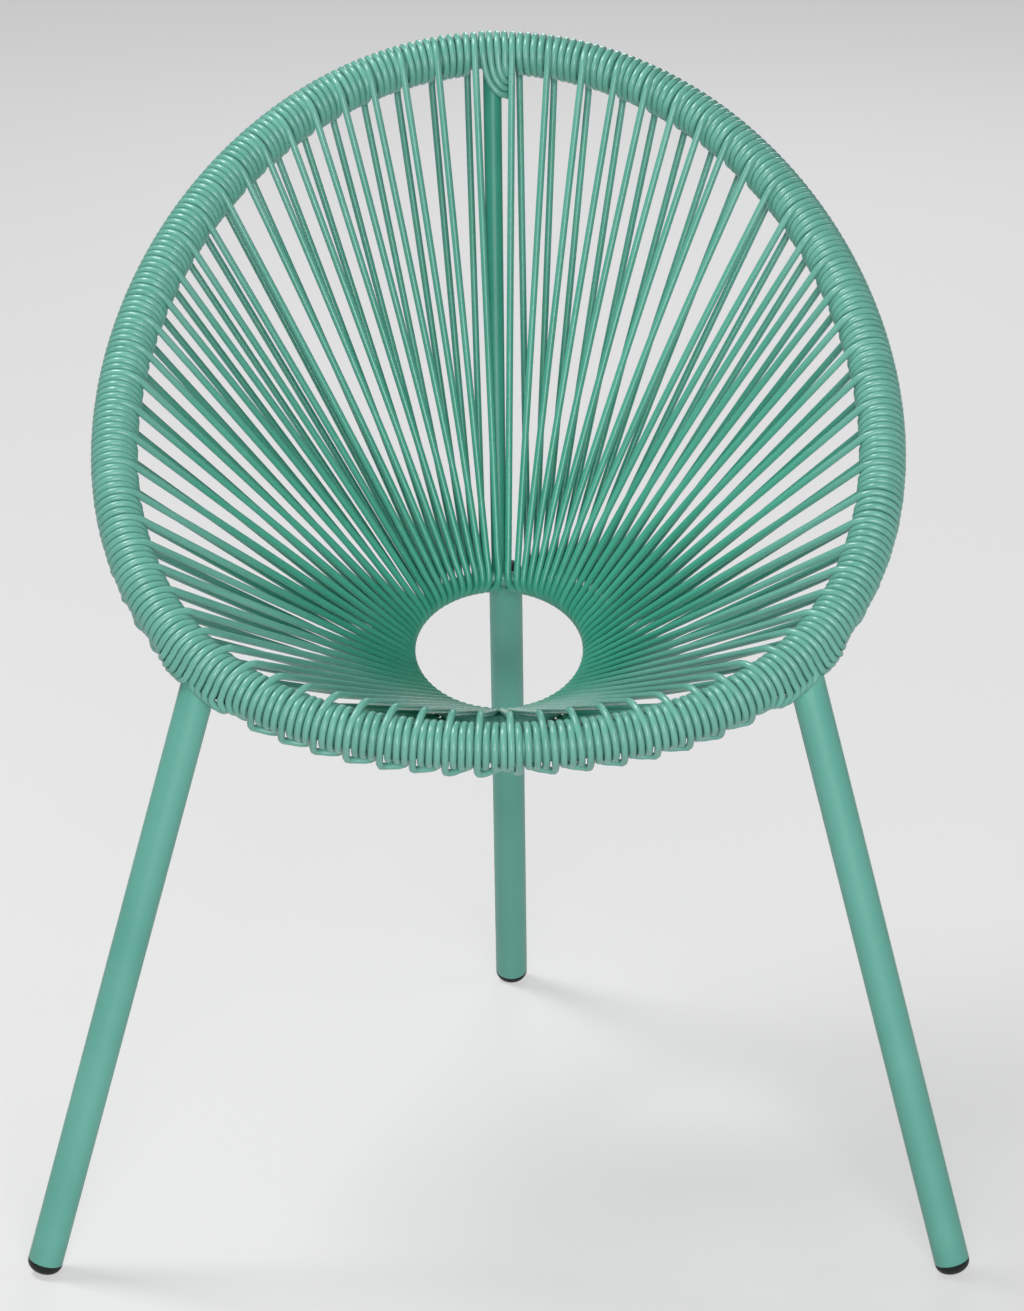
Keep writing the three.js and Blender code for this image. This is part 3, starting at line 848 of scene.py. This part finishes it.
def wound_turns(side, number, roll, slant):
    """The rim turns after the lower strand, the run back under them and over to the upper strand."""
    strand_angle = math.degrees(roll) - 90
    turns, pitch = turns_ahead(side, number)
    run_end = -1 if side > 0 and number >= BEHIND_FROM else 0
    run_lift = CORD + rng.uniform(0, SLACK) + (LOOSE_SLACK if number in LOOSE_RUNS[side] else 0)
    knots = landing(strand_angle, table_value(LEAD, number + 0.5), turns) + turns_on(turns + run_end)
    base = -360 * (turns + run_end) if turns else 0
    later = run_under(side, number, turns, run_end, run_lift) + (TURN_BEHIND if run_end else [])
    knots += [[base + angle, way, lift] for angle, way, lift in later]
    # The turn behind takes the cord once more round
    base += 360 * run_end
    knots = np.vstack([np.array(knots) * [1, pitch, 1], leaving(base, strand_angle, number, slant)])
    degrees, along, lift = smooth_path(knots, ROUTE_STEP)
    wander = np.interp(-degrees, 90 * np.arange(WANDER_KNOTS), rng.normal(0, WANDER, WANDER_KNOTS))
    grown = np.clip((-degrees - WANDER_FROM) / WANDER_GROWTH, 0, 1)
    along = strand_place(side, number) + along + wander * grown
    angle = np.radians(degrees)
    along, radius = leg_room(side, along, angle, lift)
    return rim.on(along, angle, radius)


def ease_to(far, line, end, land):
    """The last stretch of a strand, bent into the hook or the turn that it meets."""
    handle = np.linalg.norm(end - far) * EASE_SHARE
    return bezier(far, far + line * handle, end - land * handle, end, BEND_POINTS)[:-1]


def straight(start, end):
    """The points between two ends, which are left out."""
    count = max(3, int(np.linalg.norm(end - start) / STRAIGHT_STEP))
    return start + np.outer(np.linspace(0, 1, count + 1)[1:-1], end - start)


def lower_strand(before, after):
    """From a hook at the hub ring to the rim's turns."""
    start, end = before[-1], after[0]
    leave, land, line = unit(start - before[-2]), unit(after[1] - end), unit(end - start)
    near, far = start + line * BEND, end - line * BEND
    first = bezier(start, start + leave * BEND_HANDLES[0], near - line * BEND_HANDLES[1], near, BEND_POINTS)
    return np.vstack([first[1:], straight(near, far), ease_to(far, line, end, land)])


def upper_strand(before, after, radius):
    """From the rim's turns, over an arc of a radius, and straight to the hook at the hub ring."""
    start, end = before[-1], after[0]
    leave, land = unit(start - before[-2]), unit(after[1] - end)
    inner = end - start
    inner = unit(inner - leave * (inner @ leave))
    middle = start + inner * radius
    gap = end - middle
    bend = math.atan2(gap @ leave, -(gap @ inner)) - math.acos(radius / np.linalg.norm(gap))
    turn = np.linspace(0, bend, ARC_POINTS)[1:, None]
    arc = middle + radius * (np.sin(turn) * leave - np.cos(turn) * inner)
    line = unit(end - arc[-1])
    far = end - line * BEND
    return np.vstack([arc, straight(arc[-1], far), ease_to(far, line, end, land)])


def hub_above(side, number):
    return HUB_PITCH * (number + 0.5) + table_value(HUB_DRIFT[side], number)


def hub_below(side, number):
    """Where a lower strand leaves the hub ring: past its hook, and clear of the rear leg."""
    beside_leg = LEG + CORD / 2 + REAR_SPACE + side * REAR_TOP_X
    lead = HOOK_LEAD * (1 - number / STRANDS)
    return max(hub_above(side, number) + HUB_PITCH * lead, beside_leg + number * LEAST_BELOW)


def hub_hook(above_place, below_place, roll_above, roll_below):
    """From an upper strand, over the hub bar and through the hole, to the next lower strand."""
    start, end = roll_above - math.pi / 2, roll_below - math.pi * 1.5
    share = np.linspace(0, 1, HOOK_POINTS)
    place = above_place + (below_place - above_place) * smooth_step(share)
    return hub.on(place, start + (end - start) * share, HOOK)


def side_cord(side):
    """One whole cord: lower strand, turns, upper strand, hook, and on to the next station."""
    wound, upper_heads, lower_rolls = [], [], []
    for number in range(STRANDS):
        place = strand_place(side, number)
        heading = unit(hub.centre(hub_above(side, number)) - rim.centre(place))
        upper_heads.append(heading)
        wound.append(wound_turns(side, number, rim.roll(place, heading), heading @ rim.along(place)))
        below = hub_below(side, number)
        landed = rim.centre(place + table_value(LEAD, number + 0.5) * TURN)
        lower_rolls.append(hub.roll(below, landed - hub.centre(below)))
    # The hook before the first strand is the cord's start, and the one after the last its end
    hooks = []
    for number in range(-1, STRANDS):
        upper, lower = max(number, 0), min(number + 1, STRANDS - 1)
        above = hub_above(side, upper) - (HUB_PITCH * END_ABOVE_SHARE if number < 0 else 0)
        below = hub_below(side, lower) + (HUB_PITCH * END_BELOW_SHARE if number == STRANDS - 1 else 0)
        hooks.append(hub_hook(above, below, hub.roll(above, -upper_heads[upper]), lower_rolls[lower]))
    hooks[0] = hooks[0][FIRST_HOOK_POINT:]
    hooks[-1] = hooks[-1][:LAST_HOOK_POINT]
    path = [hooks[0]]
    for number in range(STRANDS):
        arch = WRAP + FRONT_ARC * front_share(number)
        path.append(lower_strand(hooks[number], wound[number]))
        path.append(wound[number])
        path.append(upper_strand(wound[number], hooks[number + 1], arch))
        path.append(hooks[number + 1])
    points = np.vstack(path)
    keep = np.diff(distances_along(points), prepend=-1) > LEAST_STEP
    return points[keep] * [side, 1, 1]


# The turns over the middle of the back: how many, the least way that they are drawn down the spine, and how
# far the cord lies from the spine's side
TOP_TURNS = 4
TOP_DROP = 0.0178
TOP_SPACE = 0.0006
TOP_STEP = 0.0024


def top_turns():
    """Turns over the middle of the back: each is drawn down past the spine's right side, and they lie
    there one above the other. Knots are [across, down, forward]."""
    left, right = -strand_place(-1, 0), strand_place(1, 0)
    gap = (right - left) / (TOP_TURNS + 1)
    front = np.cross([1, 0, 0], spine_axis)
    front = front if front[1] < 0 else -front
    beside = SPINE_TOP_X + BAR + CORD / 2 + TOP_SPACE
    r = WRAP
    knots = [[left + gap * 0.5, r * 0.5, -r * 0.88], [left + gap * 0.7, -r * 0.4, -r * 0.94]]
    for i in range(TOP_TURNS):
        below = TOP_TURNS - 1 - i
        slack = below / (TOP_TURNS - 1)
        drop = TOP_DROP + CORD * below
        x = left + gap * (i + 1)
        way = beside + 0.002 - x
        knots += [[x, -r * 0.97, -r * 0.30],
                  [x, -r * 0.97, r * 0.30],
                  [x + 0.0002, -r * 0.70, r * 0.74],
                  [x + 0.0008, 0, r * 1.02],
                  [x + way * 0.14, drop * 0.42, r * (0.98 - 0.10 * slack)],
                  [x + way * 0.34, drop * 0.74, r * (0.92 - 0.20 * slack)],
                  [x + way * 0.68, drop * 0.96, r * (0.78 - 0.18 * slack)],
                  [beside + 0.0026, drop, 0.0040],
                  [beside + 0.0012, drop - 0.0006, -0.0050],
                  [x + way * 0.75 + gap * 0.3, drop * 0.80, -r * 0.72],
                  [x + way * 0.45 + gap * 0.6, drop * 0.35, -r * 0.96]]
        if below:
            knots += [[x + gap * 0.97, -r * 0.5, -r * 0.90]]
    points = curve_through(np.array(knots), TOP_STEP)
    return rim.centre(0.0) + points @ np.array([[1, 0, 0], spine_axis, front])


# Where the cords' colour goes from painted shade to painted sheen: near the rim, high up and in front, each
# as [where it starts, over what way it grows full]
CORD_SIDES = 12
SHEEN_NEAR_RIM = (0.09, 0.07)
SHEEN_HIGH = (0.43, 0.36)
SHEEN_FORWARD = (-0.01, 0.09)
HIGH_SHEEN = 0.6


def add_tube_values(mesh, points, painted_sheen):
    """UVs of a swept cord, in shares of a turn round it and metres along it, and its share of painted sheen
    over painted shade.
    """
    count = len(points)
    around = np.tile(np.arange(CORD_SIDES) / CORD_SIDES, count)
    uvs = np.stack([around, np.repeat(distances_along(points), CORD_SIDES)], -1).astype(np.float32)
    corners = np.empty(len(mesh.loops), int)
    mesh.loops.foreach_get("vertex_index", corners)
    mesh.uv_layers.new(name="UVMap").data.foreach_set("uv", uvs[corners].ravel())
    layer = mesh.attributes.new("painted_sheen", "FLOAT", "POINT")
    layer.data.foreach_set("value", np.repeat(painted_sheen, CORD_SIDES).astype(np.float32))


def cord_piece(name, points, replaces):
    """A cord, and its share of painted sheen over the painted shade of the bowl: fully near the rim and in
    front, less high in the back, and least low in the bowl."""
    line, radius = with_round_ends(points, CORD / 2)
    vertices, faces = sweep(line, radius, CORD_SIDES)
    piece = make_mesh(name, vertices, faces, glossy_cord, replaces)
    apart = distance_to(points, rim.points[::COARSE_SKIP])
    near_rim = smooth_step((SHEEN_NEAR_RIM[0] - apart) / SHEEN_NEAR_RIM[1])
    high = HIGH_SHEEN * smooth_step((points[:, 2] - SHEEN_HIGH[0]) / SHEEN_HIGH[1])
    forward = smooth_step((SHEEN_FORWARD[0] - points[:, 1]) / SHEEN_FORWARD[1])
    painted_sheen = np.maximum(np.maximum(near_rim, high), forward)
    add_tube_values(piece.data, line, np.pad(painted_sheen, len(END_SHARES), mode="edge"))


for side, word in ((-1, "left"), (1, "right")):
    cord_piece(f"cord_{word}", side_cord(side), [f"seat_cord_{word}_{i}" for i in range(1, 9)])
cord_piece("cord_top_turns", top_turns(), [])

# Stage and light
FLOOR_REACH = 30
FLOOR_GREY = 0.36
FLOOR_GLOW = 0.48
WORLD_COLOR = (0.80, 0.83, 0.85, 1)
WORLD_STRENGTH = 0.14


def seen_directly(look):
    """1 where the camera, a reflection or a view through something meets the surface, else 0."""
    path = look.nodes.new("ShaderNodeLightPath")
    total = path.outputs["Is Camera Ray"]
    for name in ("Is Glossy Ray", "Is Transmission Ray"):
        total = look.combined("MAXIMUM", total, path.outputs[name])
    return total


def floor_material():
    look = Look("pale_floor", Roughness=0.9, Base_Color=(*grey(FLOOR_GREY), 1), Specular_IOR_Level=0.1,
                Emission_Color=(1, 1, 1, 1))
    glow = look.combined("MULTIPLY", seen_directly(look), FLOOR_GLOW)
    look.feed(glow, look.shader.inputs["Emission Strength"])
    return look.material


floor_mesh = bpy.data.meshes.new("floor")
floor_corners = [(x * FLOOR_REACH, y * FLOOR_REACH, 0) for x, y in ((-1, -1), (1, -1), (1, 1), (-1, 1))]
floor_mesh.from_pydata(floor_corners, [], [(0, 1, 2, 3)])
floor_mesh.materials.append(floor_material())
floor = bpy.data.objects.new("floor", floor_mesh)
bpy.context.scene.collection.objects.link(floor)


def softbox(name, place, aim, size, power):
    data = bpy.data.lights.new(name, "AREA")
    data.shape = "RECTANGLE"
    data.size, data.size_y = size
    data.energy = power
    lamp = bpy.data.objects.new(name, data)
    bpy.context.scene.collection.objects.link(lamp)
    lamp.location = place
    lamp.rotation_euler = (Vector(aim) - Vector(place)).to_track_quat("-Z", "Y").to_euler()


softbox("key", place=(-1.35, 0.35, 2.95), aim=(0, 0, 0.5), size=(0.9, 0.9), power=54)
softbox("front", place=(0.2, -4.0, 1.2), aim=(0, 0, 0.45), size=(2.4, 1.4), power=84)
softbox("high_front", place=(0.3, -3.2, 2.3), aim=(0, 0, 0.5), size=(1.4, 0.8), power=28)
softbox("back", place=(0.4, 3.4, 1.9), aim=(0, 0, 0.4), size=(1.6, 0.8), power=24)
softbox("side", place=(3.2, 0.2, 1.6), aim=(0, 0, 0.4), size=(1.2, 1.2), power=11)

world = bpy.data.worlds.new("studio")
bpy.context.scene.world = world
world.use_nodes = True
background = world.node_tree.nodes["Background"]
background.inputs["Color"].default_value = WORLD_COLOR
background.inputs["Strength"].default_value = WORLD_STRENGTH

bpy.context.scene.view_settings.view_transform = "Standard"
